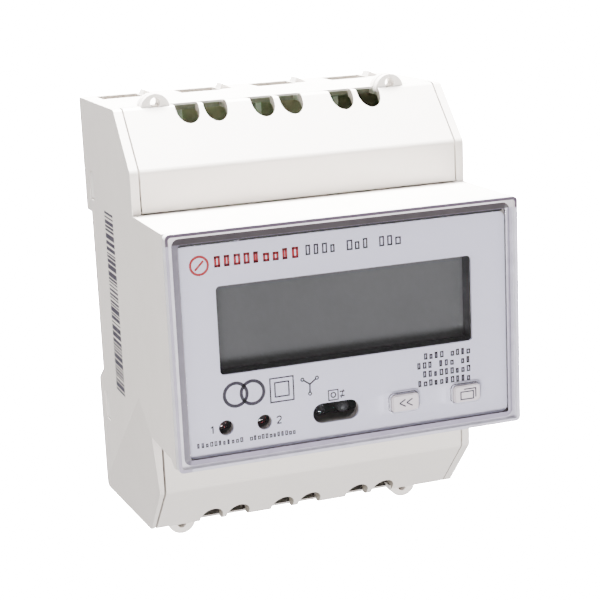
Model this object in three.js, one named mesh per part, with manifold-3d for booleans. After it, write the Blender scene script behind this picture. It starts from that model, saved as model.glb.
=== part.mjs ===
// Four-module DIN-rail three-phase energy meter, in millimetres.
// X runs to the right, Y runs to the back, Z runs up.
// The origin is the centre of the rail seat on the back of the meter.
import * as THREE from 'three';
import { ConvexGeometry } from 'three/addons/geometries/ConvexGeometry.js';
import { mergeVertices } from 'three/addons/utils/BufferGeometryUtils.js';
import Module from 'manifold-3d';

const wasm = await Module();
wasm.setup();

// ---------------------------------------------------------------- dimensions
const HALF_W = 36;            // four 18 mm modules
const WALL = 1.75;            // housing wall
const INNER_W = HALF_W - WALL;
const GAP = 0.3;              // between pieces that touch
const FRONT = -61.3;          // front of the rim round the clear window
const PANEL_FRONT = -60.95;   // front of the flat panel inside the rim
const GROOVE_Y = -60.4;       // floor of the groove between rim and panel
const PANEL_BACK = -60.2;
const LABEL_FRONT = -59.9;
const LABEL_BACK = -59.4;
const BACK = 4.5;             // back plane behind the rail seat
const TOP = 42.4;
const BOTTOM = -47.6;
const NOSE = 22.3;            // half height of the nose
const NOSE_FRONT = -59.1;     // front of the nose wall under the window
const NOSE_WALL = 1.8;
const STEP_Y = -37.6;         // upright face of the terminal covers
const SLOPE_Y = -27;          // where the slope meets the top
const COVER_END = -25.2;      // back edge of the terminal covers
const COVER_HALF = INNER_W - 0.35;
const RAIL_HALF = 17.5;       // half of the 35 mm rail

const WINDOW = { x: HALF_W, z0: -23.65, z1: 22.5, rim: 0.65 };
const PANEL = { x: 33.5, z0: -21.5, z1: 20.24, bevel: 1.1 };
const LABEL = { x: 33.7, z0: -21.6, z1: 19.55 };
const LCD = { x: -0.05, z: 2.78, w: 52.7, h: 17.3 };
const LED_XS = [-25.8, -18.05];
const IR = { x: -3.28, w: 9.65, h: 4 };
const IR_XS = [-5.73, -0.83];
const LED_Z = -16.35;
const BUTTON_XS = [11, 24.4];
const BUTTON = { w: 5.8, h: 3.4, z: -16.4 };
const DISPLAY_Y = -50.3;      // front of the board behind the face

const TERMINAL_XS = [-28.4, -10.9, 6.6, 24.1];
const NOTCH_XS = [-20.7, -14.7, -4.5, 1.7, 12.9, 19];
const NOTCH_R = 2.5;
const NOTCH_Y = -27.95;
const LUG_XS = [-27.1, 24.3];
const LUG_R = 3.1;
const BLOCK = { w: 11, h: 13 };
const BAR_Y = -10;

// The upper and the lower terminal bay; up is the way out of the meter.
const BAYS = [
  {
    name: 'top', up: 1, edge: TOP, rise: 11.5, boreY: -2.2, lugZ: TOP - 0.63, holeZ: TOP + 0.7,
    coverX0: -COVER_HALF,
  },
  {
    name: 'bottom', up: -1, edge: BOTTOM, rise: 11.7, boreY: -3.5, lugZ: BOTTOM + 1.2, holeZ: BOTTOM + 0.4,
    coverX0: -32.75,
  },
];

// ---------------------------------------------------------------- solids
function toSolid(geometry) {
  const bare = new THREE.BufferGeometry();
  bare.setAttribute('position', geometry.getAttribute('position').clone());
  if (geometry.index) {
    bare.setIndex(geometry.index.clone());
  }
  const merged = mergeVertices(bare, 1e-4);
  const mesh = new wasm.Mesh({
    numProp: 3,
    vertProperties: new Float32Array(merged.getAttribute('position').array),
    triVerts: new Uint32Array(merged.index.array),
  });
  return new wasm.Manifold(mesh);
}

function join(...solids) {
  return solids.flat().reduce((sum, next) => sum.add(next));
}

function cut(solid, ...tools) {
  return tools.flat().reduce((rest, tool) => rest.subtract(tool), solid);
}

function box(x0, x1, y0, y1, z0, z1) {
  const geometry = new THREE.BoxGeometry(Math.abs(x1 - x0), Math.abs(y1 - y0), Math.abs(z1 - z0));
  geometry.translate((x0 + x1) / 2, (y0 + y1) / 2, (z0 + z1) / 2);
  return toSolid(geometry);
}

function shapeOf(points) {
  return new THREE.Shape(points.map(([a, b]) => new THREE.Vector2(a, b)));
}

// Outline in (y, z), swept along X from x0 to x1.
function prismX(points, x0, x1) {
  const geometry = new THREE.ExtrudeGeometry(shapeOf(points), { depth: x1 - x0, bevelEnabled: false });
  const frame = new THREE.Matrix4().makeBasis(
    new THREE.Vector3(0, 1, 0),
    new THREE.Vector3(0, 0, 1),
    new THREE.Vector3(1, 0, 0),
  );
  geometry.applyMatrix4(frame);
  geometry.translate(x0, 0, 0);
  return toSolid(geometry);
}

// Outline in (x, z), swept along Y from y0 to y1, with an optional bevel.
function prismY(points, y0, y1, bevel = null) {
  const options = { depth: y1 - y0, bevelEnabled: false };
  if (bevel) {
    options.bevelEnabled = true;
    options.bevelSegments = 1;
    options.bevelSize = bevel.size;
    options.bevelThickness = bevel.rise;
    options.depth = y1 - y0 - 2 * bevel.rise;
  }
  const geometry = new THREE.ExtrudeGeometry(shapeOf(points), options);
  const frame = new THREE.Matrix4().makeBasis(
    new THREE.Vector3(1, 0, 0),
    new THREE.Vector3(0, 0, 1),
    new THREE.Vector3(0, -1, 0),
  );
  geometry.applyMatrix4(frame);
  geometry.translate(0, bevel ? y1 - bevel.rise : y1, 0);
  return toSolid(geometry);
}

function rodY(x, z, radius, y0, y1, segments = 20) {
  const geometry = new THREE.CylinderGeometry(radius, radius, y1 - y0, segments);
  geometry.translate(x, (y0 + y1) / 2, z);
  return toSolid(geometry);
}

function rodZ(x, y, radius, z0, z1, segments = 20) {
  const geometry = new THREE.CylinderGeometry(radius, radius, Math.abs(z1 - z0), segments);
  geometry.rotateX(Math.PI / 2);
  geometry.translate(x, y, (z0 + z1) / 2);
  return toSolid(geometry);
}

// Closed profile of [radius, height] turned about an axis along Y that starts at y0.
function turnedY(profile, x, y0, z, segments = 16) {
  const points = profile.map(([radius, height]) => new THREE.Vector2(radius, height));
  const geometry = new THREE.LatheGeometry(points, segments);
  geometry.translate(x, y0, z);
  return toSolid(geometry);
}

// Outline with every listed corner rounded: [a, b, radius].
function rounded(points, segments = 4) {
  const result = [];
  points.forEach(([a, b, radius = 0], i) => {
    const before = points[(i + points.length - 1) % points.length];
    const after = points[(i + 1) % points.length];
    const corner = new THREE.Vector2(a, b);
    if (radius === 0) {
      result.push([a, b]);
      return;
    }
    const u = new THREE.Vector2(before[0], before[1]).sub(corner).normalize();
    const v = new THREE.Vector2(after[0], after[1]).sub(corner).normalize();
    const half = Math.acos(THREE.MathUtils.clamp(u.dot(v), -1, 1)) / 2;
    const reach = radius / Math.tan(half);
    const middle = u.clone().add(v).normalize().multiplyScalar(radius / Math.sin(half)).add(corner);
    const start = corner.clone().addScaledVector(u, reach).sub(middle);
    const end = corner.clone().addScaledVector(v, reach).sub(middle);
    const sweep = Math.atan2(start.cross(end), start.dot(end));
    for (let k = 0; k <= segments; k += 1) {
      const turned = start.clone().rotateAround(new THREE.Vector2(0, 0), (sweep * k) / segments);
      result.push([middle.x + turned.x, middle.y + turned.y]);
    }
  });
  return result;
}

function roundRect(x0, x1, z0, z1, radius, segments = 4) {
  return rounded([[x0, z0, radius], [x1, z0, radius], [x1, z1, radius], [x0, z1, radius]], segments);
}

function centredRect(x, z, w, h, radius, segments = 4) {
  return roundRect(x - w / 2, x + w / 2, z - h / 2, z + h / 2, radius, segments);
}

// ---------------------------------------------------------------- group
const group = new THREE.Group();
group.name = 'energy_meter';

function addNode(name, solid, color, roughness = 0.5, metalness = 0) {
  const data = solid.getMesh();
  const geometry = new THREE.BufferGeometry();
  geometry.setAttribute('position', new THREE.BufferAttribute(new Float32Array(data.vertProperties), 3));
  geometry.setIndex(new THREE.BufferAttribute(new Uint32Array(data.triVerts), 1));
  geometry.computeVertexNormals();
  const material = new THREE.MeshStandardMaterial({ color, roughness, metalness });
  const mesh = new THREE.Mesh(geometry, material);
  mesh.name = name;
  group.add(mesh);
}

const IVORY = 0xe9e6de;
const BLACK = 0x1c1d20;
const BRASS = 0xc9a24e;
const COPPER = 0xb87345;
const STEEL = 0xb4b6b8;
const BOARD = 0x1f5a38;

// ---------------------------------------------------------------- openings
const buttonHoles = (grow, y0, y1) => BUTTON_XS.map((x) => (
  prismY(centredRect(x, BUTTON.z, BUTTON.w + grow, BUTTON.h + grow, 0.7 + grow / 2), y0, y1)
));
const ledHoles = (radius, y0, y1) => LED_XS.map((x) => rodY(x, LED_Z, radius, y0, y1));
const irSlot = (grow, y0, y1) => prismY(
  centredRect(IR.x, LED_Z, IR.w + grow, IR.h + grow, (IR.h + grow) / 2 - 0.01, 6), y0, y1,
);
const lcdHole = (grow, y0, y1) => prismY(
  centredRect(LCD.x, LCD.z, LCD.w + grow, LCD.h + grow, 0.8), y0, y1,
);

// ---------------------------------------------------------------- front housing
// Both end walls carry the whole side outline, rail recess included.
const sideOutline = rounded([
  [NOSE_FRONT, -NOSE],
  [STEP_Y, -NOSE],
  [STEP_Y, BOTTOM + BAYS[1].rise, 1.5],
  [SLOPE_Y, BOTTOM, 2],
  [BACK, BOTTOM, 0.8],
  [BACK, -21.3, 0.6],
  [0, -18.3],
  [0, RAIL_HALF],
  [BACK, RAIL_HALF, 0.6],
  [BACK, TOP, 0.8],
  [SLOPE_Y, TOP, 1.5],
  [STEP_Y, TOP - BAYS[0].rise, 1.5],
  [STEP_Y, NOSE],
  [NOSE_FRONT, NOSE],
], 3);

function lug(x, bay, y0, y1) {
  const disc = rodY(x, bay.lugZ, LUG_R, y0, y1, 24);
  const spare = box(x - 4, x + 4, y0 - 1, y1 + 1, bay.edge - bay.up, bay.edge - 5 * bay.up);
  const hole = rodY(x, bay.holeZ, 1.05, y0 - 1, y1 + 1, 14);
  return cut(disc, spare, hole);
}

function housingBay(bay) {
  const inside = bay.edge - WALL * bay.up;
  const wall = box(-INNER_W - 0.5, INNER_W + 0.5, COVER_END + GAP, BACK, inside, bay.edge);
  const entries = TERMINAL_XS.map((x) => (
    box(x - 4.45, x + 4.45, bay.boreY - 3.3, bay.boreY + 3.7, inside - bay.up, bay.edge + bay.up)
  ));
  const barriers = TERMINAL_XS.slice(1).map((x) => (
    box(x - 9.35, x - 8.15, -18, -0.5, (NOSE - 1) * bay.up, inside + 0.5 * bay.up)
  ));
  const ribs = TERMINAL_XS.map((x) => prismY(
    [[x + 4.45, bay.edge - 0.3], [x + 7.9, bay.edge - 0.3], [x + 5.1, bay.edge + 1.2]],
    bay.boreY - 2, bay.boreY + 1.5,
  ));
  const undercuts = NOTCH_XS.map((x) => (
    box(x - 4.2, x + 2.8, COVER_END, -21.5, inside - bay.up, bay.edge - 0.45 * bay.up)
  ));
  const lugs = LUG_XS.map((x) => lug(x, bay, COVER_END + GAP, COVER_END + GAP + 1.6));
  return join(cut(wall, entries, undercuts), barriers, bay.up > 0 ? ribs : [], lugs);
}

function housingFloor(bay) {
  const back = bay.up > 0 ? 2.1 : -2.6;
  const z0 = (NOSE - WALL) * bay.up;
  const floor = box(-INNER_W - 0.5, INNER_W + 0.5, NOSE_FRONT, back, z0, NOSE * bay.up);
  const slots = TERMINAL_XS.map((x) => (
    box(x - 4.4, x + 4.4, BAR_Y - 1.4, BAR_Y + 1.4, z0 - bay.up, (NOSE + 1) * bay.up)
  ));
  return cut(floor, slots);
}

// The lower left end wall leans inwards, towards its front and bottom corner.
function leaningFace() {
  const faceX = (y, z) => -39.33 - 0.0629 * y - 0.079 * z;
  const corners = [[-42, -23.04], [-42, -50], [6, -50], [6, 11.5]];
  return toSolid(new ConvexGeometry(corners.flatMap(([y, z]) => [
    new THREE.Vector3(-45, y, z),
    new THREE.Vector3(faceX(y, z), y, z),
  ])));
}

function frontHousing() {
  const ends = [
    prismX(sideOutline, -HALF_W, -INNER_W),
    prismX(sideOutline, INNER_W, HALF_W),
  ];
  const wallBack = NOSE_FRONT + NOSE_WALL;
  const face = cut(
    box(-INNER_W - 0.5, INNER_W + 0.5, NOSE_FRONT, wallBack, -NOSE + 0.5, NOSE - 0.5),
    lcdHole(3.2, NOSE_FRONT - 1, wallBack + 1),
    ledHoles(1.8, NOSE_FRONT - 1, wallBack + 1),
    irSlot(0.7, NOSE_FRONT - 1, wallBack + 1),
    buttonHoles(0.8, NOSE_FRONT - 1, wallBack + 1),
  );
  const pins = [-30.5, 30.5].flatMap((x) => (
    [-17.8, 17.8].map((z) => rodY(x, z, 1, wallBack - 0.5, DISPLAY_Y + 2.4, 12))
  ));
  const boardRibs = [-1, 1].map((side) => (
    box(side * (INNER_W + 0.3), side * 33, -24.3, -22.8, -12, 12)
  ));
  const snapSlots = [-1, 1].flatMap((side) => [
    box(side * (HALF_W + 1), side * (INNER_W - 1), -3.6, -0.4, 20.5, 26.8),
    box(side * (HALF_W + 1), side * (INNER_W - 1), -3.6, -0.4, -29.6, -23.3),
  ]);
  const bays = BAYS.flatMap((bay) => [housingBay(bay), housingFloor(bay)]);
  const liner = prismX(sideOutline, -HALF_W, -33.2).intersect(
    box(-40, -30, STEP_Y - 1, -11, BOTTOM - 1, -NOSE + 0.5),
  );
  const lip = prismX([
    [NOSE_FRONT, -23.5],
    [NOSE_FRONT, -NOSE + 0.3],
    [-55.6, -NOSE + 0.3],
    [-55.6, -NOSE],
    [-57.8, -23.5],
  ].reverse(), -HALF_W, HALF_W);
  const latchGate = box(-8.4, 8.4, 2.3, BACK + 1, BOTTOM - 1, BOTTOM + 3);
  const body = join(ends, face, bays, pins, boardRibs, liner, lip);
  return cut(body, snapSlots, latchGate, leaningFace());
}
addNode('front_housing', frontHousing(), IVORY, 0.55);

// ---------------------------------------------------------------- back base
// A plate that follows the rail recess, with the fixed rail hook and the latch guide.
const LATCH = { half: 8, wing: 9.4, z0: -46.2, z1: -18.2, y0: 2.7, y1: 4.2 };
const GUIDE = { half: 12, z0: -44.8, z1: -21 };

function backBase() {
  const plate = prismX([
    [BACK, -44.8],
    [BACK, -21.3],
    [-0.4, -18.03],
    [-0.4, -16.1],
    [0, -16.1],
    [0, 16],
    [-0.4, 16],
    [-0.4, RAIL_HALF],
    [BACK, RAIL_HALF],
    [BACK, 40.3],
    [2.5, 40.3],
    [2.5, 19.5],
    [-2, 19.5],
    [-2, -19.5],
    [2.5, -22.5],
    [2.5, -44.8],
  ], -COVER_HALF, COVER_HALF);
  const hook = prismX(
    [[1.5, 17.8], [1.5, 16.2], [3.6, 16.2], [BACK, 17], [BACK, 17.8]], -24, 24,
  );
  const guide = prismX(
    [[1.2, GUIDE.z0], [BACK - 0.5, GUIDE.z0], [BACK - 0.5, GUIDE.z1 - 1], [1.2, GUIDE.z1 - 1]],
    -GUIDE.half, GUIDE.half,
  );
  const backing = box(-GUIDE.half, GUIDE.half, -0.2, 2, -24.6, -20.4);
  const channel = [
    box(-LATCH.half - GAP, LATCH.half + GAP, 2.4, BACK + 1, GUIDE.z0 - 1, RAIL_HALF - 36),
    box(-LATCH.wing - GAP, LATCH.wing + GAP, 2.4, 3.6, GUIDE.z0 - 1, -23.4),
    box(-LATCH.half - GAP, LATCH.half + GAP, 1, BACK + 1, -23.7, -18.5),
  ];
  const stop = box(-2, 2, 2, 3.9, -38.6, -37.2);
  const posts = TERMINAL_XS.slice(1).flatMap((x) => (
    [-15.5, 15.5].map((z) => rodY(x - 8.75, z, 1.4, -20.6, -1.5, 12))
  ));
  const clipHeights = [[22.6, 20.8, 26.5], [-29.3, -29.3, -23.6]];
  const clips = [-1, 1].flatMap((side) => clipHeights.flatMap(([root, z0, z1]) => [
    box(side * 32.6, side * COVER_HALF, -3.3, 3, root, z1),
    box(side * 33.55, side * 35.8, -3.3, -0.7, z0, z1),
  ]));
  return join(cut(join(plate, guide, backing), channel), hook, stop, posts, clips);
}
addNode('back_base', backBase(), 0xdedbd3, 0.6);

// ---------------------------------------------------------------- rail latch
function railLatch() {
  const { half, wing, z0, z1, y0, y1 } = LATCH;
  const slider = box(-half, half, y0, y1, z0, z1);
  const wings = box(-wing, wing, y0, 3.3, -38, -28);
  const nose = prismX(
    [[1.3, -18.4], [1.3, -16.9], [2, -16.3], [2.9, -16.3], [y1, -17.3], [y1, -19], [y0, -19.4]], -half, half,
  );
  const springWindow = box(-2.6, 2.6, y0 - 1, y1 + 1, -38.9, -26);
  const driverSlot = box(-3, 3, y0 - 1, y1 + 1, -44.6, -42.4);
  return cut(join(slider, wings, nose), springWindow, driverSlot);
}
addNode('rail_latch', railLatch(), 0x2b2d31, 0.5);

function latchSpring() {
  class Coil extends THREE.Curve {
    getPoint(t, target = new THREE.Vector3()) {
      const angle = 2 * Math.PI * 6 * t;
      return target.set(0.75 * Math.cos(angle), 3.2 + 0.45 * Math.sin(angle), -36.7 + 10.2 * t);
    }
  }
  const wire = [];
  for (let k = 0; k < 6; k += 1) {
    const angle = (2 * Math.PI * k) / 6;
    wire.push([0.2 * Math.cos(angle), 0.2 * Math.sin(angle)]);
  }
  const geometry = new THREE.ExtrudeGeometry(shapeOf(wire), {
    steps: 72, extrudePath: new Coil(), bevelEnabled: false,
  });
  return toSolid(geometry);
}
addNode('latch_spring', latchSpring(), STEEL, 0.3, 1);

// ---------------------------------------------------------------- terminal covers
// Upright face, slope and a short top return, with cheeks at both ends.
function terminalCover(bay) {
  const { up, edge, rise, coverX0 } = bay;
  const slope = edge - rise * up;
  const rate = rise / (SLOPE_Y - STEP_Y);
  const drop = WALL * Math.hypot(1, rate);
  const inside = edge - WALL * up;
  const seam = (NOSE + GAP) * up;
  const outline = rounded([
    [STEP_Y, seam],
    [STEP_Y, slope, 1.5],
    [SLOPE_Y, edge, up > 0 ? 1.5 : 2],
    [COVER_END, edge],
    [COVER_END, inside],
    [SLOPE_Y + (drop - WALL) / rate, inside],
    [STEP_Y + WALL, slope + (rate * WALL - drop) * up],
    [STEP_Y + WALL, seam],
  ], 3);
  const cheek = [
    [STEP_Y + 0.5, seam],
    [STEP_Y + 0.5, slope],
    [SLOPE_Y, edge - 0.6 * up],
    [COVER_END, edge - 0.6 * up],
    [COVER_END, edge - 4.5 * up],
    [-33, slope - 1.5 * up],
    [-33, seam],
  ];
  const order = (points) => (up > 0 ? points.slice().reverse() : points);
  const shell = prismX(order(outline), coverX0, COVER_HALF);
  const cheeks = [
    prismX(order(cheek), coverX0, coverX0 + 1.2),
    prismX(order(cheek), COVER_HALF - 1.2, COVER_HALF),
  ];
  const tongues = [-25, 19].map((x) => box(x, x + 6, STEP_Y + 1, -31.6, seam, seam + 1.4 * up));
  const notches = NOTCH_XS.flatMap((x) => [
    rodZ(x, NOTCH_Y, NOTCH_R, edge - 7 * up, edge + up, 20),
    box(x - NOTCH_R, x + NOTCH_R, NOTCH_Y, COVER_END + 1, edge - 7 * up, edge + up),
    toSolid(new ConvexGeometry([edge - 2.5 * up, edge + up].flatMap((z) => [
      new THREE.Vector3(x, NOTCH_Y, z),
      new THREE.Vector3(x - NOTCH_R, NOTCH_Y + 0.9, z),
      new THREE.Vector3(x - NOTCH_R - 1.2, COVER_END + 1, z),
      new THREE.Vector3(x, COVER_END + 1, z),
    ]))),
  ]);
  const lugs = LUG_XS.map((x) => lug(x, bay, COVER_END - 1.7, COVER_END));
  return join(cut(join(shell, cheeks, tongues), notches), lugs);
}
BAYS.forEach((bay) => addNode(`${bay.name}_terminal_cover`, terminalCover(bay), IVORY, 0.55));

// ---------------------------------------------------------------- window and label
function frontWindow() {
  const { x, z0, z1, rim } = WINDOW;
  const plate = prismY(roundRect(-x, x, z0, z1, 0.9), GROOVE_Y, NOSE_FRONT - GAP);
  const ring = cut(
    prismY(roundRect(-x, x, z0, z1, 0.9), FRONT, GROOVE_Y + 0.1),
    prismY(roundRect(-x + rim, x - rim, z0 + rim, z1 - rim, 0.5), FRONT - 1, GROOVE_Y + 1),
  );
  const panel = prismY(
    roundRect(-PANEL.x, PANEL.x, PANEL.z0, PANEL.z1, 0.4),
    PANEL_FRONT,
    PANEL_FRONT + 1.2,
    { size: PANEL.bevel, rise: GROOVE_Y - PANEL_FRONT },
  );
  const pocket = prismY(
    roundRect(-LABEL.x - GAP, LABEL.x + GAP, LABEL.z0 - GAP, LABEL.z1 + 0.65, 1.4),
    PANEL_BACK,
    NOSE_FRONT + 1,
  );
  return cut(join(plate, ring, panel), pocket, buttonHoles(0.6, FRONT - 1, FRONT + 3));
}
addNode('front_window', frontWindow(), 0xdfe4ea, 0.1);

const faceLabel = cut(
  prismY(roundRect(-LABEL.x, LABEL.x, LABEL.z0, LABEL.z1, 1.2), LABEL_FRONT, LABEL_BACK),
  lcdHole(0, LABEL_FRONT - 1, LABEL_BACK + 1),
  ledHoles(1.5, LABEL_FRONT - 1, LABEL_BACK + 1),
  irSlot(0, LABEL_FRONT - 1, LABEL_BACK + 1),
  buttonHoles(0.6, LABEL_FRONT - 1, LABEL_BACK + 1),
);
addNode('face_label', faceLabel, 0xc9c9d2, 0.4);

// ---------------------------------------------------------------- display
const lcdBlock = (grow, y0, y1) => prismY(
  centredRect(LCD.x, LCD.z, LCD.w + grow, LCD.h + grow, 0.6), y0, y1,
);
const lcdFrame = cut(
  join(lcdBlock(2.4, NOSE_FRONT, -56.5), lcdBlock(7.9, -57, DISPLAY_Y - GAP)),
  lcdHole(0, NOSE_FRONT - 1, -55.5),
  lcdBlock(5.6, -56, DISPLAY_Y + 1),
);
addNode('lcd_frame', lcdFrame, BLACK, 0.5);
addNode('lcd_glass', lcdBlock(5, -55.7, -53.9), 0x747a74, 0.15);
addNode('lcd_backlight', lcdBlock(5, -53.6, DISPLAY_Y - 0.5), 0xe4e8ea, 0.4);

const displayBoard = cut(
  prismY(roundRect(-33, 33, -19.6, 19.6, 1), DISPLAY_Y, DISPLAY_Y + 1.6),
  [-30.5, 30.5].flatMap((x) => (
    [-17.8, 17.8].map((z) => rodY(x, z, 1.3, DISPLAY_Y - 1, DISPLAY_Y + 3, 12))
  )),
);
addNode('display_board', displayBoard, BOARD, 0.45);

const diode = [[0, 0], [1.6, 0], [1.6, -1], [1.25, -1], [1.25, -6.2], [1.08, -6.9], [0.63, -7.4], [0, -7.55]];
const turnedDiode = (x) => turnedY([...diode].reverse(), x, DISPLAY_Y - GAP, LED_Z);
addNode('pulse_led_a', turnedDiode(LED_XS[0]), 0xb03030, 0.2);
addNode('pulse_led_b', turnedDiode(LED_XS[1]), 0xb03030, 0.2);
addNode('optical_emitter', turnedDiode(IR_XS[0]), 0x8fa8c0, 0.2);
addNode('optical_receiver', turnedDiode(IR_XS[1]), 0x15161a, 0.2);

// ---------------------------------------------------------------- push buttons
function pushButton(x) {
  const { w, h, z } = BUTTON;
  return join(
    prismY(centredRect(x, z, w, h, 0.7), PANEL_FRONT + 0.15, -56.1),
    prismY(centredRect(x, z, w - 0.8, h - 0.4, 0.4), PANEL_FRONT, -59),
    prismY(centredRect(x, z, w + 2.4, h + 2.2, 0.6), -56.9, -55.9),
    prismY(centredRect(x, z, 3, 2.2, 0.3), -56.5, -54.85),
  );
}
['left', 'right'].forEach((side, i) => {
  const x = BUTTON_XS[i];
  const z = BUTTON.z;
  addNode(`push_button_${side}`, pushButton(x), 0xd6d2d6, 0.5);
  const body = prismY(centredRect(x, z, 6, 5, 0.4), DISPLAY_Y - 3.3, DISPLAY_Y - GAP);
  const key = rodY(x, z, 1.6, DISPLAY_Y - 3.6, DISPLAY_Y - 2.7, 16);
  addNode(`tact_switch_${side}`, join(body, key), BLACK, 0.4);
});

// ---------------------------------------------------------------- main board
const mainBoard = prismY(roundRect(-33.9, 33.9, -19.4, 19.4, 1), -22.5, -20.9);
addNode('main_board', mainBoard, BOARD, 0.45);

function boardConnector() {
  const pins = [];
  for (let k = 0; k < 6; k += 1) {
    const x = 13.65 + 2.54 * k;
    pins.push(box(x - 0.32, x + 0.32, -46.5, -30, 15.68, 16.32));
  }
  const header = box(12.1, 27.9, DISPLAY_Y + 1.9, DISPLAY_Y + 4.4, 14.7, 17.3);
  const socket = box(12.1, 27.9, -31.3, -22.8, 14.7, 17.3);
  return join(header, socket, pins);
}
addNode('board_connector', boardConnector(), BLACK, 0.5);

const capacitorBox = prismY(roundRect(-30, -12, -16, -5, 1), -33, -22.8);
addNode('supply_capacitor', capacitorBox, 0xc2a53a, 0.4);
const canProfile = [[0, -15], [4.4, -15], [5, -14.4], [5, -3], [4.6, -2.4], [5, -1.8], [5, 0], [0, 0]];
addNode('storage_capacitor', turnedY(canProfile, -2, -22.8, 9, 24), 0x24303f, 0.35);

function supplyTransformer() {
  const core = cut(
    box(10, 26, -38, -22.8, -15, -1),
    box(12.5, 23.5, -35.5, -25.3, -16, 0),
  );
  const winding = prismY(roundRect(13.4, 22.6, -17, 1, 1.5), -34.9, -26);
  const limb = box(15.5, 20.5, -36, -25, -14.9, -1.1);
  return join(core, winding, limb);
}
addNode('supply_transformer', supplyTransformer(), 0x3a3634, 0.6);

function meteringChip() {
  const legs = [];
  for (let k = 0; k < 10; k += 1) {
    const z = 4.7 + 0.96 * k;
    legs.push(box(-26.3, -13.7, -23.2, -22.8, z, z + 0.4));
  }
  return join(box(-25, -15, -24.3, -22.95, 4, 14), legs);
}
addNode('metering_chip', meteringChip(), BLACK, 0.35);

// ---------------------------------------------------------------- phase conductors
// Each bar links a lower terminal block to the upper one; three pass through a sensing ring.
const barOutline = [
  [BAR_Y - 1, -31.6],
  [0, -31.6],
  [0, -29.6],
  [BAR_Y + 1, -29.6],
  [BAR_Y + 1, 24.5],
  [0.6, 24.5],
  [0.6, 26.5],
  [BAR_Y - 1, 26.5],
];
const barNames = ['neutral_bar', 'phase_bar_1', 'phase_bar_2', 'phase_bar_3'];
TERMINAL_XS.forEach((x, i) => addNode(barNames[i], prismX(barOutline, x - 4, x + 4), COPPER, 0.35, 1));

const ringProfile = [[5, -4], [5.5, -4.5], [6.8, -4.5], [7.3, -4], [7.3, 4], [6.8, 4.5], [5.5, 4.5], [5, 4]];
TERMINAL_XS.slice(1).forEach((x, i) => {
  const closed = [...ringProfile, ringProfile[0]];
  const points = closed.map(([radius, height]) => new THREE.Vector2(radius, height));
  const geometry = new THREE.LatheGeometry(points, 28);
  geometry.rotateX(Math.PI / 2);
  geometry.translate(x, BAR_Y, 2);
  addNode(`current_transformer_${i + 1}`, toSolid(geometry), 0x2f4f8f, 0.4);
});

// ---------------------------------------------------------------- terminals
function terminalBlock(x, bay) {
  const z0 = bay.edge - 2.6 * bay.up;
  const z1 = z0 - BLOCK.h * bay.up;
  const body = box(x - BLOCK.w / 2, x + BLOCK.w / 2, bay.boreY - 6.3, bay.boreY + 4.2, z0, z1);
  const bore = rodZ(x, bay.boreY, 3.5, z0 + bay.up, z1 + 1.5 * bay.up, 24);
  const tapped = rodY(x, screwZ(bay), 2.6, bay.boreY - 8, bay.boreY, 20);
  return cut(body, bore, tapped);
}

function screwZ(bay) {
  return bay.edge - 8.8 * bay.up;
}

function terminalScrew(x, bay) {
  const z = screwZ(bay);
  const headFront = bay.boreY - 9.6;
  const profile = [
    [0, 0], [2.9, 0], [3.3, 0.4], [3.3, 3], [2.3, 3], [2.3, 6.5], [1.9, 6.9], [0, 6.9],
  ];
  const turned = turnedY(profile, x, headFront, z, 24);
  const slots = [
    box(x - 2.5, x + 2.5, headFront - 1, headFront + 1.5, z - 0.45, z + 0.45),
    box(x - 0.45, x + 0.45, headFront - 1, headFront + 1.5, z - 2.5, z + 2.5),
  ];
  return cut(turned, slots);
}

// A six-way push-in strip for the signal wires that pass through the cover notches.
function signalStrip(bay) {
  const z0 = (NOSE + GAP) * bay.up;
  const z1 = z0 + 6 * bay.up;
  const body = box(-24.6, 22.2, -31.1, -23.6, z0, z1);
  const holes = NOTCH_XS.map((x) => rodZ(x, NOTCH_Y, 1.3, z1 - 5 * bay.up, z1 + bay.up, 12));
  const releases = NOTCH_XS.map((x) => (
    box(x - 1.1, x + 1.1, -30.4, -29.5, z1 - 1.5 * bay.up, z1 + bay.up)
  ));
  return cut(body, holes, releases);
}

BAYS.forEach((bay) => {
  TERMINAL_XS.forEach((x, i) => {
    addNode(`terminal_block_${bay.name}_${i + 1}`, terminalBlock(x, bay), BRASS, 0.35, 1);
    addNode(`terminal_screw_${bay.name}_${i + 1}`, terminalScrew(x, bay), STEEL, 0.3, 1);
  });
  addNode(`signal_strip_${bay.name}`, signalStrip(bay), 0x3c6b46, 0.5);
});

export default group;
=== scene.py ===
"""Looks of the rail-mounted electricity meter, in metres, in the CAD frame."""
import math
import random

import bmesh
import bpy
from mathutils import Matrix, Vector


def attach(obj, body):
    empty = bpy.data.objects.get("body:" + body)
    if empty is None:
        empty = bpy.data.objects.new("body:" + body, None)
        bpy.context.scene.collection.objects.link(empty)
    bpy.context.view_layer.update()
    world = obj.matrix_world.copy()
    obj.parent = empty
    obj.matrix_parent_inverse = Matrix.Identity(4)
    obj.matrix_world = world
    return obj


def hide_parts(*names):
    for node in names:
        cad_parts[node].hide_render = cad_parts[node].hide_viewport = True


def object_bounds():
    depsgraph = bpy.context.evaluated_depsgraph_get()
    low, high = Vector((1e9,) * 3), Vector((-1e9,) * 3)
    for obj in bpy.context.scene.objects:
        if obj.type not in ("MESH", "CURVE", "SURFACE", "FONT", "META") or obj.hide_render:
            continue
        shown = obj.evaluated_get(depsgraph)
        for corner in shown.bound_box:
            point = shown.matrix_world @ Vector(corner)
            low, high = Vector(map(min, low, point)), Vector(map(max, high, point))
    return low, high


MM = 0.001
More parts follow.
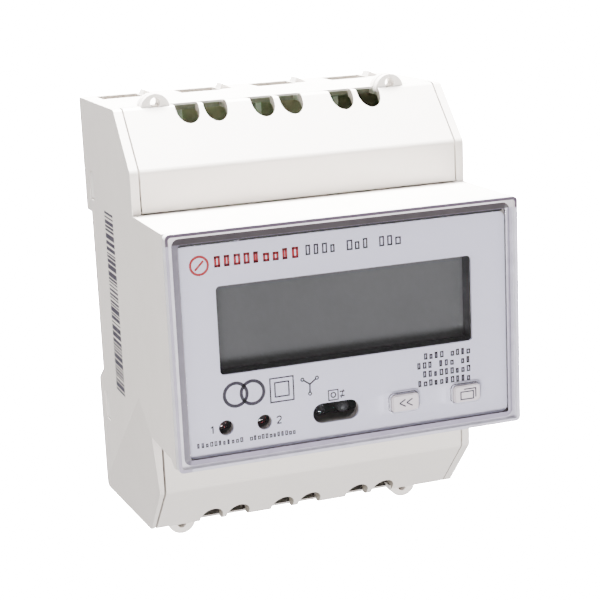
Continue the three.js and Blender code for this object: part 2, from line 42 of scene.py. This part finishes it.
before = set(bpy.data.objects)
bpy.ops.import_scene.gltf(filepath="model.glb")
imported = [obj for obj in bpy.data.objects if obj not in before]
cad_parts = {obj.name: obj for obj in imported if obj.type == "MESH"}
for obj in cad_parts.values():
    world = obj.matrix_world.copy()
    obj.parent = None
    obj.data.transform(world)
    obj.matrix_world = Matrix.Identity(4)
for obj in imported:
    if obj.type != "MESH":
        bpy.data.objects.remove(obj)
cad_low, cad_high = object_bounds()

# Places taken from the CAD, in millimetres.
CASE_HALF_WIDTH = 36
NOSE_START_Y = -40
SLOT_FLOOR_Y = -21.5
PANEL_FRONT = -60.95
LABEL_FRONT = -59.9
BUTTON_Z = -16.4

# How printed marks lie on what they are printed on, in millimetres.
PRINT_Y = LABEL_FRONT - 0.03
ICON_Y = PANEL_FRONT - 0.02
# Where the near-black strip of painted shadow above the label lies.
PAINTED_SHADOW_Y = -59.6
SIDE_PRINT_X = -36.015
SIDE_PRINT_THICKNESS = 0.02
PLATE_THICKNESS = 0.04

# Turns between neighbouring faces, in degrees: what is shown sharp and what is softened.
SHARP_TURN = 35
SLIGHT_TURN = (1.5, 12)
SOFTENED_TURN = 25

# The stage, in metres and watts.
FLOOR_HALF_SIZE = 14
FLOOR_DROP = 0.0002
FLOOR_GLOW = 45.0
SKY_COLOUR = (1.0, 0.965, 0.975, 1.0)
SKY_STRENGTH = 0.6

# The camera: lens and shift, then the angles and distance it looks from.
LENS_MM = 94.46
SENSOR_MM = 36
SHIFT = (0.0925, -0.0338)
AZIMUTH, ELEVATION, ROLL, REACH = -0.30684, 0.21942, -0.05305, 0.32231
LOOK_AT = (-0.0128855, -0.0355, 0.0063622)
CLIP_START = 0.01


# ------------------------------------------------------------------ materials
class Nodes:
    """A small helper around one material's node tree."""

    def __init__(self, name):
        self.material = bpy.data.materials.new(name)
        self.material.use_nodes = True
        self.tree = self.material.node_tree
        self.tree.nodes.clear()
        self.out = self.add("ShaderNodeOutputMaterial")
        self.coords = self.add("ShaderNodeTexCoord").outputs["Object"]

    def add(self, kind, **settings):
        node = self.tree.nodes.new(kind)
        for key, value in settings.items():
            setattr(node, key, value)
        return node

    def link(self, source, target):
        self.tree.links.new(source, target)

    def noise(self, scale, detail=2.0, rough=0.5, stretch=None):
        node = self.add("ShaderNodeTexNoise")
        node.inputs["Scale"].default_value = scale
        node.inputs["Detail"].default_value = detail
        node.inputs["Roughness"].default_value = rough
        source = self.coords
        if stretch:
            mapping = self.add("ShaderNodeMapping")
            mapping.inputs["Scale"].default_value = stretch
            self.link(source, mapping.inputs["Vector"])
            source = mapping.outputs["Vector"]
        self.link(source, node.inputs["Vector"])
        return node.outputs["Fac"]

    def ramp(self, source, low, high, out_low=0.0, out_high=1.0):
        node = self.add("ShaderNodeMapRange")
        node.inputs["From Min"].default_value = low
        node.inputs["From Max"].default_value = high
        node.inputs["To Min"].default_value = out_low
        node.inputs["To Max"].default_value = out_high
        self.link(source, node.inputs["Value"])
        return node.outputs["Result"]

    def mix(self, factor, first, second):
        node = self.add("ShaderNodeMix", data_type="RGBA")
        self.link(factor, node.inputs["Factor"])
        for socket, value in ((node.inputs[6], first), (node.inputs[7], second)):
            if isinstance(value, tuple):
                socket.default_value = (*value, 1.0)
            else:
                self.link(value, socket)
        return node.outputs[2]

    def edge_mask(self, radius):
        """Bright where the surface turns sharply: the true and the rounded normal differ."""
        bevel = self.add("ShaderNodeBevel", samples=6)
        bevel.inputs["Radius"].default_value = radius
        geometry = self.add("ShaderNodeNewGeometry")
        dot = self.add("ShaderNodeVectorMath", operation="DOT_PRODUCT")
        self.link(bevel.outputs["Normal"], dot.inputs[0])
        self.link(geometry.outputs["Normal"], dot.inputs[1])
        return self.ramp(dot.outputs["Value"], 1.0, 0.86)

    def bump(self, height, distance, normal=None):
        node = self.add("ShaderNodeBump")
        node.inputs["Distance"].default_value = distance
        node.inputs["Strength"].default_value = 1.0
        self.link(height, node.inputs["Height"])
        if normal is not None:
            self.link(normal, node.inputs["Normal"])
        return node.outputs["Normal"]

    def principled(self, **values):
        node = self.add("ShaderNodeBsdfPrincipled")
        for key, value in values.items():
            socket = node.inputs[key.replace("_", " ")]
            if hasattr(value, "is_output"):
                self.link(value, socket)
            elif isinstance(value, tuple) and len(value) == 3:
                socket.default_value = (*value, 1.0)
            else:
                socket.default_value = value
        self.link(node.outputs["BSDF"], self.out.inputs["Surface"])


def moulded(name, base, shade, rough=0.5, grain=0.00001, wear=None, specular=0.4):
    """Moulded plastic: fine spark-eroded grain, uneven gloss, and slightly rubbed edges."""
    n = Nodes(name)
    cloud = n.ramp(n.noise(70, 4, 0.6), 0.35, 0.7)
    colour = n.mix(cloud, base, shade)
    if wear:
        edge = n.edge_mask(0.0004)
        rub = n.ramp(n.noise(420, 3, 0.65), 0.4, 0.75)
        both = n.add("ShaderNodeMath", operation="MULTIPLY")
        n.link(edge, both.inputs[0])
        n.link(rub, both.inputs[1])
        colour = n.mix(both.outputs[0], colour, wear)
    gloss = n.ramp(n.noise(240, 3, 0.6), 0.3, 0.75, rough - 0.07, rough + 0.08)
    texture = n.bump(n.noise(5200, 2, 0.5), grain)
    waves = n.bump(n.noise(38, 2, 0.4), grain * 6, texture)
    n.principled(Base_Color=colour, Roughness=gloss, Normal=waves, Specular_IOR_Level=specular)
    return n.material


def metal(name, base, shade, rough, brushed=(1, 1, 14)):
    """Metal with fine brushed lines and an uneven tone."""
    n = Nodes(name)
    lines = n.noise(900, 4, 0.7, stretch=brushed)
    colour = n.mix(n.ramp(n.noise(300, 4, 0.6), 0.35, 0.7), base, shade)
    gloss = n.ramp(lines, 0.3, 0.7, rough - 0.08, rough + 0.12)
    n.principled(Base_Color=colour, Roughness=gloss, Metallic=1.0,
                 Normal=n.bump(lines, 0.00001))
    return n.material


def pane(name, tint):
    """A thin clear pane: straight through, with a weak uneven reflection."""
    n = Nodes(name)
    through = n.add("ShaderNodeBsdfTransparent")
    through.inputs["Color"].default_value = (*tint, 1.0)
    shine = n.add("ShaderNodeBsdfGlossy")
    n.link(n.ramp(n.noise(55, 4, 0.65), 0.4, 0.75, 0.03, 0.09), shine.inputs["Roughness"])
    scratch = n.bump(n.noise(1600, 2, 0.6, stretch=(1, 1, 0.08)), 0.00000012)
    n.link(scratch, shine.inputs["Normal"])
    share = n.add("ShaderNodeFresnel")
    share.inputs["IOR"].default_value = 1.3
    mix = n.add("ShaderNodeMixShader")
    n.link(share.outputs["Fac"], mix.inputs["Fac"])
    n.link(through.outputs["BSDF"], mix.inputs[1])
    n.link(shine.outputs["BSDF"], mix.inputs[2])
    n.link(mix.outputs["Shader"], n.out.inputs["Surface"])
    return n.material


def painted_light_edging(name, top, left, rest, rough=0.3):
    """Moulded edge of the clear window, shown opaque with painted reflection and shade: one tone
    above, one at the left and one elsewhere.
    """
    n = Nodes(name)
    xyz = n.add("ShaderNodeSeparateXYZ")
    n.link(n.coords, xyz.inputs["Vector"])
    colour = n.mix(n.ramp(xyz.outputs["X"], -0.0332, -0.0336), rest, left)
    colour = n.mix(n.ramp(xyz.outputs["Z"], 0.02015, 0.02035), colour, top)
    tint = n.ramp(n.noise(300, 3, 0.6), 0.3, 0.75, 0.9, 1.08)
    value = n.add("ShaderNodeHueSaturation")
    n.link(tint, value.inputs["Value"])
    n.link(colour, value.inputs["Color"])
    gloss = n.ramp(n.noise(700), 0.3, 0.7, rough, rough + 0.12)
    n.principled(Base_Color=value.outputs["Color"], Roughness=gloss,
                 Normal=n.bump(n.noise(2500), 0.000002))
    return n.material


def clear(name, tint, rough, ior):
    """Solid clear plastic that bends light, with smears and fine scratches."""
    n = Nodes(name)
    smear = n.ramp(n.noise(55, 4, 0.65), 0.4, 0.75, rough, rough + 0.03)
    scratch = n.bump(n.noise(1600, 2, 0.6, stretch=(1, 1, 0.08)), 0.0000006)
    n.principled(Base_Color=tint, Roughness=smear, Transmission_Weight=1.0, IOR=ior,
                 Normal=scratch)
    return n.material


def printed(name, base, shade, rough):
    """Ink, paint or coated sheet, with a fine speckle."""
    n = Nodes(name)
    colour = n.mix(n.ramp(n.noise(2600, 3, 0.7), 0.35, 0.75), base, shade)
    gloss = n.ramp(n.noise(500), 0.3, 0.7, rough - 0.05, rough + 0.1)
    n.principled(Base_Color=colour, Roughness=gloss, Normal=n.bump(n.noise(3000), 0.000004))
    return n.material


IVORY = moulded("ivory_plastic", (0.66, 0.62, 0.58), (0.635, 0.595, 0.555),
                0.48, 0.000009, (0.74, 0.71, 0.67))
# Darker ivory used as painted shade on the cover notch walls and the recess behind them.
PAINTED_SHADE = moulded("painted_shade_plastic", (0.30, 0.27, 0.225), (0.27, 0.24, 0.20),
                 0.6, 0.000012, (0.38, 0.35, 0.30))
BASE = moulded("base_plastic", (0.76, 0.735, 0.69), (0.73, 0.70, 0.66),
               0.52, 0.000012, (0.82, 0.80, 0.76))
DARK = moulded("dark_plastic", (0.022, 0.023, 0.026), (0.034, 0.034, 0.037),
               0.45, 0.000012, (0.10, 0.10, 0.10))
BUTTON = moulded("button_rubber", (0.52, 0.475, 0.51), (0.50, 0.455, 0.49),
                 0.55, 0.000008, (0.43, 0.38, 0.41))
WINDOW = pane("clear_window", (0.985, 0.985, 0.99))
# The clear window's side, rim, groove and bevel tones are painted reflection and shade: rim and
# bevel dark above and at the left, groove bright above as a painted highlight.
RIM_SIDE = painted_light_edging("window_side", (0.62, 0.60, 0.60), (0.60, 0.58, 0.62), (0.62, 0.61, 0.66))
RIM_FLAT = painted_light_edging("window_rim", (0.07, 0.05, 0.075), (0.34, 0.31, 0.39), (0.50, 0.48, 0.56))
RIM_GROOVE = painted_light_edging("window_groove", (0.66, 0.63, 0.66), (0.66, 0.64, 0.70), (0.50, 0.48, 0.56))
RIM_BEVEL = painted_light_edging("window_bevel", (0.05, 0.043, 0.048), (0.13, 0.115, 0.15), (0.27, 0.245, 0.32))
# Near-black sheet used as painted shadow between the label and the window's top edge.
PAINTED_SHADOW_INK = printed("painted_shadow", (0.012, 0.011, 0.014), (0.02, 0.018, 0.022), 0.5)
LABEL = printed("label_print", (0.80, 0.785, 0.93), (0.82, 0.805, 0.94), 0.4)
INK = printed("ink_dark", (0.02, 0.015, 0.03), (0.035, 0.028, 0.045), 0.5)
INK_RED = printed("ink_red", (0.36, 0.012, 0.018), (0.42, 0.018, 0.025), 0.5)
LENS = clear("lamp_lens", (0.55, 0.16, 0.16), 0.06, 1.5)
LENS_BLUE = clear("port_lens", (0.72, 0.78, 0.88), 0.06, 1.5)
BOARD = printed("board_green", (0.012, 0.045, 0.03), (0.02, 0.07, 0.045), 0.35)
BRASS = metal("brass", (0.40, 0.34, 0.26), (0.33, 0.28, 0.215), 0.45)
COPPER = metal("copper", (0.72, 0.36, 0.20), (0.62, 0.29, 0.16), 0.34)
STEEL = metal("screw_steel", (0.60, 0.60, 0.60), (0.50, 0.50, 0.49), 0.3, (14, 1, 14))
STRIP = moulded("strip_green", (0.05, 0.20, 0.08), (0.04, 0.16, 0.065),
                0.5, 0.00001, (0.12, 0.3, 0.15))
RING = moulded("ring_blue", (0.03, 0.07, 0.22), (0.025, 0.055, 0.18),
               0.45, 0.00001, (0.1, 0.16, 0.32))
AMBER = moulded("capacitor_yellow", (0.55, 0.36, 0.05), (0.50, 0.32, 0.045),
                0.35, 0.00001, (0.65, 0.48, 0.15))
LIGHT_GUIDE = moulded("light_guide", (0.75, 0.78, 0.78), (0.70, 0.73, 0.73), 0.4)


def lcd_material():
    """Unlit liquid crystal glass with a slightly uneven tone."""
    n = Nodes("lcd_glass")
    fog = n.ramp(n.noise(26, 3, 0.5), 0.3, 0.7)
    colour = n.mix(fog, (0.095, 0.097, 0.10), (0.112, 0.114, 0.117))
    gloss = n.ramp(n.noise(180), 0.3, 0.7, 0.12, 0.2)
    n.principled(Base_Color=colour, Roughness=gloss, Normal=n.bump(n.noise(900), 0.0000003))
    return n.material


LCD = lcd_material()


# ------------------------------------------------------------------ geometry
def new_object(name, bm, material, body):
    """A new piece that rides on a body; material may be a list."""
    mesh = bpy.data.meshes.new(name)
    bm.normal_update()
    bm.to_mesh(mesh)
    bm.free()
    obj = bpy.data.objects.new(name, mesh)
    bpy.context.scene.collection.objects.link(obj)
    for item in material if isinstance(material, list) else [material]:
        mesh.materials.append(item)
    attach(obj, body)
    return obj


def full_width(a, b):
    """Every edge gets the whole bevel width."""
    return 1.0


def dressed(node, name, material, body, weight, width, segments, paint=None):
    """A copy of a CAD node with softened edges.

    weight(a, b) gives the share of the bevel width for the edge from a to b, and
    paint(centre, normal) gives the material number of a face, all in millimetres.
    """
    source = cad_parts[node]
    bm = bmesh.new()
    bm.from_mesh(source.data)
    bmesh.ops.remove_doubles(bm, verts=bm.verts, dist=0.000002)
    bmesh.ops.dissolve_limit(bm, angle_limit=math.radians(0.5), verts=bm.verts, edges=bm.edges)
    bm.normal_update()
    layer = bm.edges.layers.float.new("bevel_weight_edge")
    for edge in bm.edges:
        if len(edge.link_faces) == 2:
            first, second = (face.normal for face in edge.link_faces)
            turn = math.degrees(first.angle(second, 0))
            edge.smooth = not (turn > SHARP_TURN or SLIGHT_TURN[0] < turn < SLIGHT_TURN[1])
            if turn > SOFTENED_TURN:
                a, b = (vert.co / MM for vert in edge.verts)
                edge[layer] = weight(a, b)
    if paint:
        for face in bm.faces:
            face.material_index = paint(face.calc_center_median() / MM, face.normal)
    obj = new_object(name, bm, material, body)
    bevel = obj.modifiers.new("soft_edges", "BEVEL")
    bevel.limit_method = "WEIGHT"
    bevel.width = width * MM
    bevel.segments = segments
    bevel.use_clamp_overlap = True
    weighted = obj.modifiers.new("flat_faces", "WEIGHTED_NORMAL")
    weighted.keep_sharp = True
    for polygon in obj.data.polygons:
        polygon.use_smooth = True
    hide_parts(node)


def outer_edge(a, b):
    """Large radius where the side faces meet the stepped outline, small elsewhere."""
    on_side = all(abs(abs(end.x) - CASE_HALF_WIDTH) < 0.05 for end in (a, b))
    nose = min(a.y, b.y) < NOSE_START_Y
    if on_side and not nose:
        return 1.0
    return 0.22


def case_part(centre, normal):
    """The recessed face behind the cover notches gets the darker plastic as painted shade."""
    return 1 if abs(centre.y - SLOT_FLOOR_Y) < 0.1 and abs(centre.z) > 40 else 0


def cover_part(centre, normal):
    """The walls of the cover notches get the darker plastic as painted shade."""
    upright = abs(normal.z) < 0.1
    at_notches = abs(centre.x) < 23 and -31 < centre.y < -25.3 and abs(centre.z) > 35
    return 1 if upright and at_notches else 0


dressed("front_housing", "case_shell", [IVORY, PAINTED_SHADE], "meter_body",
        outer_edge, 0.9, 3, case_part)
for side in ("top", "bottom"):
    dressed(f"{side}_terminal_cover", f"{side}_cover_shell", [IVORY, PAINTED_SHADE],
            f"{side}_cover", full_width, 0.2, 2, cover_part)
dressed("back_base", "back_plate", BASE, "meter_body", full_width, 0.15, 1)
dressed("rail_latch", "latch_slider", DARK, "latch", full_width, 0.15, 1)


def window_part(centre, normal):
    """Pane 0, outer side 1, rim 2, groove 3, bevel 4."""
    if -0.97 < normal.y < -0.3:
        return 4
    if normal.y < -0.97 and centre.y < -61.2:
        return 2
    if normal.y < -0.97 and -60.5 < centre.y < -60.3:
        return 3
    outside = abs(centre.x) > 33.9 or centre.z > 20.1 or centre.z < -21.8
    return 1 if abs(normal.y) < 0.3 and outside else 0


dressed("front_window", "window_pane", [WINDOW, RIM_SIDE, RIM_FLAT, RIM_GROOVE, RIM_BEVEL],
        "meter_body", full_width, 0.08, 2, window_part)
for side in ("left", "right"):
    dressed(f"push_button_{side}", f"button_cap_{side}", BUTTON, f"{side}_button",
            full_width, 0.2, 3)


# ------------------------------------------------------------------ CAD pieces shown as they are
def dress_nodes(material, *names):
    """Give CAD nodes their material and leave their shape as it is."""
    for name in names:
        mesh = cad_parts[name].data
        mesh.materials.clear()
        mesh.materials.append(material)


dress_nodes(LABEL, "face_label")
dress_nodes(DARK, "lcd_frame", "tact_switch_left", "tact_switch_right", "board_connector",
            "metering_chip", "supply_transformer", "storage_capacitor", "optical_receiver")
dress_nodes(LCD, "lcd_glass")
dress_nodes(LIGHT_GUIDE, "lcd_backlight")
dress_nodes(BOARD, "display_board", "main_board")
dress_nodes(LENS, "pulse_led_a", "pulse_led_b")
dress_nodes(LENS_BLUE, "optical_emitter")
dress_nodes(STEEL, "latch_spring")
dress_nodes(COPPER, "neutral_bar", "phase_bar_1", "phase_bar_2", "phase_bar_3")
dress_nodes(RING, "current_transformer_1", "current_transformer_2", "current_transformer_3")
dress_nodes(AMBER, "supply_capacitor")
dress_nodes(STRIP, "signal_strip_top", "signal_strip_bottom")
for bay in ("top", "bottom"):
    for number in range(1, 5):
        dress_nodes(BRASS, f"terminal_block_{bay}_{number}")
        dress_nodes(STEEL, f"terminal_screw_{bay}_{number}")


# ------------------------------------------------------------------ printed marks
def plate(bm, points, y):
    """A flat printed shape in (x, z), facing the front at y."""
    bottom = [bm.verts.new((x * MM, (y + PLATE_THICKNESS) * MM, z * MM)) for x, z in points]
    top = [bm.verts.new((x * MM, y * MM, z * MM)) for x, z in points]
    bm.faces.new(top)
    bm.faces.new(list(reversed(bottom)))
    for i in range(len(points)):
        j = (i + 1) % len(points)
        bm.faces.new((top[i], bottom[i], bottom[j], top[j]))


def bar_points(x0, x1, z0, z1):
    """The corners of an upright rectangle."""
    return [(x0, z0), (x1, z0), (x1, z1), (x0, z1)]


def stroke(bm, a, b, width, y):
    """A straight printed line from a to b."""
    (ax, az), (bx, bz) = a, b
    length = math.hypot(bx - ax, bz - az)
    nx, nz = -(bz - az) / length * width / 2, (bx - ax) / length * width / 2
    corners = [(ax - nx, az - nz), (bx - nx, bz - nz), (bx + nx, bz + nz), (ax + nx, az + nz)]
    plate(bm, corners, y)


def ring_mark(bm, x, z, outer, inner, y, count):
    """A printed ring made of count flat pieces."""
    for k in range(count):
        a0, a1 = 2 * math.pi * k / count, 2 * math.pi * (k + 1) / count
        plate(bm, [(x + r * math.cos(a), z + r * math.sin(a))
                   for r, a in ((inner, a0), (outer, a0), (outer, a1), (inner, a1))], y)


def frame_mark(bm, x, z, w, h, line, y):
    """The printed outline of a rectangle with its middle at (x, z)."""
    plate(bm, bar_points(x - w / 2, x + w / 2, z + h / 2 - line, z + h / 2), y)
    plate(bm, bar_points(x - w / 2, x + w / 2, z - h / 2, z - h / 2 + line), y)
    plate(bm, bar_points(x - w / 2, x - w / 2 + line, z - h / 2 + line, z + h / 2 - line), y)
    plate(bm, bar_points(x + w / 2 - line, x + w / 2, z - h / 2 + line, z + h / 2 - line), y)


def small_print(bm, x0, x1, z, height, words, y, seed, line):
    """A row of small empty boxes that stands for a line of print and has no meaning."""
    rng = random.Random(seed)
    width = height * 0.62
    pitch = width + height * 0.22
    total = max(words, int((x1 - x0) / pitch))
    breaks = {round(total * (k + 1) / words) for k in range(words - 1)}
    for k in range(total):
        if k in breaks:
            continue
        a = x0 + (x1 - x0) * k / total
        b = a + width * rng.uniform(0.7, 1.0)
        low, high = z - height / 2, z + height / 2 * rng.choice((0.55, 1.0, 1.0))
        plate(bm, bar_points(a, b, low, low + line), y)
        plate(bm, bar_points(a, b, high - line, high), y)
        plate(bm, bar_points(a, a + line, low, high), y)
        plate(bm, bar_points(b - line, b, low, high), y)


def digit_one(bm, x, z, height, line, y):
    stroke(bm, (x, z - height / 2), (x, z + height / 2), line, y)
    stroke(bm, (x - height * 0.25, z + height * 0.25), (x, z + height / 2 - line / 2), line, y)


def digit_two(bm, x, z, height, line, y):
    w = height * 0.3
    path = [(-w, 0.28), (-w * 0.6, 0.46), (w * 0.6, 0.46), (w, 0.25), (w * 0.7, 0.02),
            (-w, -0.46), (w, -0.46)]
    points = [(x + a, z + b * height) for a, b in path]
    for a, b in zip(points, points[1:]):
        stroke(bm, a, b, line, y)


ink = bmesh.new()
small_print(ink, -8.2, 12.0, 16.35, 2.0, 3, PRINT_Y, 3, 0.3)
frame_mark(ink, -14.25, -10.3, 5.0, 5.0, 0.27, PRINT_Y)
frame_mark(ink, -14.25, -10.25, 3.1, 3.1, 0.27, PRINT_Y)
for x in (-23.6, -20.2):
    ring_mark(ink, x, -10.05, 2.6, 1.95, PRINT_Y, 28)
hub = (-8.5, -10.1)
for x, z in ((-10.0, -9.0), (-7.0, -9.0), (-8.55, -12.0)):
    arm_end = (hub[0] + (x - hub[0]) * 0.8, hub[1] + (z - hub[1]) * 0.8)
    stroke(ink, hub, arm_end, 0.3, PRINT_Y)
    ring_mark(ink, x, z, 0.42, 0.18, PRINT_Y, 14)
frame_mark(ink, -3.75, -12.95, 2.2, 2.2, 0.22, PRINT_Y)
ring_mark(ink, -3.75, -12.95, 0.62, 0.36, PRINT_Y, 14)
for z in (-12.45, -13.35):
    stroke(ink, (-2.4, z), (-1.4, z), 0.25, PRINT_Y)
stroke(ink, (-2.15, -13.8), (-1.6, -12.1), 0.18, PRINT_Y)
for row, (start, words) in enumerate(((15.7, 2), (14.2, 3), (15.4, 1), (14.3, 1))):
    small_print(ink, start, 26.1, -7.85 - 1.83 * row, 1.3, words, PRINT_Y, 10 + row, 0.28)
small_print(ink, -31.8, -22.3, -19.15, 0.95, 1, PRINT_Y, 21, 0.2)
small_print(ink, -21.2, -11.6, -19.15, 0.95, 1, PRINT_Y, 22, 0.2)
digit_one(ink, -28.5, -16.35, 1.5, 0.24, PRINT_Y)
digit_two(ink, -15.1, -16.3, 1.5, 0.24, PRINT_Y)
new_object("face_print_dark", ink, INK, "meter_body")

red = bmesh.new()
ring_mark(red, -29.35, 15.75, 1.95, 1.5, PRINT_Y, 28)
stroke(red, (-30.2, 14.9), (-28.5, 16.6), 0.4, PRINT_Y)
small_print(red, -26.4, -9.0, 16.15, 2.15, 1, PRINT_Y, 5, 0.46)
new_object("face_print_red", red, INK_RED, "meter_body")

# A near-black strip put as painted shadow above the label, under the window's top edge.
painted_shadow_mesh = bmesh.new()
plate(painted_shadow_mesh, bar_points(-33.4, 33.4, 19.6, 20.15), PAINTED_SHADOW_Y)
new_object("label_painted_shadow", painted_shadow_mesh, PAINTED_SHADOW_INK, "meter_body")


def side_plate(bm, points):
    """A flat printed shape in (y, z) on the left wall."""
    top = [bm.verts.new((SIDE_PRINT_X * MM, y * MM, z * MM)) for y, z in points]
    under_x = SIDE_PRINT_X + SIDE_PRINT_THICKNESS
    under = [bm.verts.new((under_x * MM, y * MM, z * MM)) for y, z in points]
    bm.faces.new(list(reversed(top)))
    bm.faces.new(under)
    for i in range(len(points)):
        j = (i + 1) % len(points)
        bm.faces.new((top[i], top[j], under[j], under[i]))


stripes = bmesh.new()
rng = random.Random(8)
z = -19.6
while z < 19.6:
    width = rng.choice((0.3, 0.5, 0.8, 1.1))
    side_plate(stripes, bar_points(-20.0, -12.6, z, min(z + width, 19.9)))
    z += width + rng.choice((0.25, 0.3, 0.5))
new_object("side_stripes", stripes, INK, "meter_body")


def button_icon(name, body, draw):
    """A printed sign that moves with its button."""
    bm = bmesh.new()
    draw(bm, ICON_Y)
    new_object(name, bm, INK, body)


def chevrons(bm, y):
    for x in (9.75, 11.25):
        stroke(bm, (x, BUTTON_Z), (x + 1.25, BUTTON_Z + 0.72), 0.26, y)
        stroke(bm, (x, BUTTON_Z), (x + 1.25, BUTTON_Z - 0.72), 0.26, y)


def pages(bm, y):
    frame_mark(bm, 24.4, -16.75, 3.0, 1.8, 0.25, y)
    stroke(bm, (23.7, -15.45), (26.35, -15.45), 0.25, y)
    stroke(bm, (26.3, -15.4), (26.3, -17.3), 0.25, y)


button_icon("icon_left", "left_button", chevrons)
button_icon("icon_right", "right_button", pages)


# ------------------------------------------------------------------ stage
floor_mesh = bpy.data.meshes.new("floor")
floor_z = cad_low.z - FLOOR_DROP
corners = [(sx * FLOOR_HALF_SIZE, sy * FLOOR_HALF_SIZE, floor_z)
           for sx, sy in ((-1, -1), (1, -1), (1, 1), (-1, 1))]
floor_mesh.from_pydata(corners, [], [(0, 1, 2, 3)])
floor = bpy.data.objects.new("floor", floor_mesh)
bpy.context.scene.collection.objects.link(floor)
paper = Nodes("floor_paper")
tone = paper.mix(paper.ramp(paper.noise(2.0), 0.3, 0.7), (0.90, 0.90, 0.90), (0.93, 0.93, 0.93))
paper.principled(Base_Color=tone, Roughness=0.9, Emission_Color=(1.0, 1.0, 1.0),
                 Emission_Strength=FLOOR_GLOW)
floor_mesh.materials.append(paper.material)
floor.visible_diffuse = False
floor.visible_glossy = False
floor.visible_transmission = False
floor.visible_shadow = False

world = bpy.data.worlds.new("studio")
bpy.context.scene.world = world
world.use_nodes = True
sky = world.node_tree.nodes["Background"]
sky.inputs["Color"].default_value = SKY_COLOUR
sky.inputs["Strength"].default_value = SKY_STRENGTH


def softbox(name, place, target, width, height, power):
    """A white rectangular light at place that shines towards target."""
    light = bpy.data.lights.new(name, "AREA")
    light.shape = "RECTANGLE"
    light.size = width
    light.size_y = height
    light.energy = power
    obj = bpy.data.objects.new(name, light)
    obj.location = place
    obj.rotation_mode = "QUATERNION"
    obj.rotation_quaternion = (Vector(target) - Vector(place)).to_track_quat("-Z", "Y")
    bpy.context.scene.collection.objects.link(obj)


softbox("overhead", (0.03, 0.14, 0.75), (0, -0.01, 0), 0.3, 0.25, 150)
softbox("front_fill", (-0.25, -0.8, -0.33), (0, -0.03, 0), 0.4, 0.2, 10)
softbox("right_low", (0.5, -0.3, -0.03), (0.03, -0.03, -0.02), 0.25, 0.1, 6)
softbox("left_fill", (-0.8, -0.3, -0.05), (-0.03, -0.02, 0), 0.5, 0.3, 7)

camera_data = bpy.data.cameras.new("camera")
camera_data.lens = LENS_MM
camera_data.sensor_width = SENSOR_MM
camera_data.shift_x, camera_data.shift_y = SHIFT
camera_data.clip_start = CLIP_START
camera = bpy.data.objects.new("camera", camera_data)
back = Vector((math.sin(AZIMUTH) * math.cos(ELEVATION),
               -math.cos(AZIMUTH) * math.cos(ELEVATION),
               math.sin(ELEVATION)))
right = Vector((math.cos(AZIMUTH), math.sin(AZIMUTH), 0))
up = back.cross(right)
turned_right = math.cos(ROLL) * right + math.sin(ROLL) * up
turned_up = -math.sin(ROLL) * right + math.cos(ROLL) * up
place = Vector(LOOK_AT) + back * REACH
camera.matrix_world = Matrix((
    (turned_right.x, turned_up.x, back.x, place.x),
    (turned_right.y, turned_up.y, back.y, place.y),
    (turned_right.z, turned_up.z, back.z, place.z),
    (0, 0, 0, 1),
))
bpy.context.scene.collection.objects.link(camera)
bpy.context.scene.camera = camera
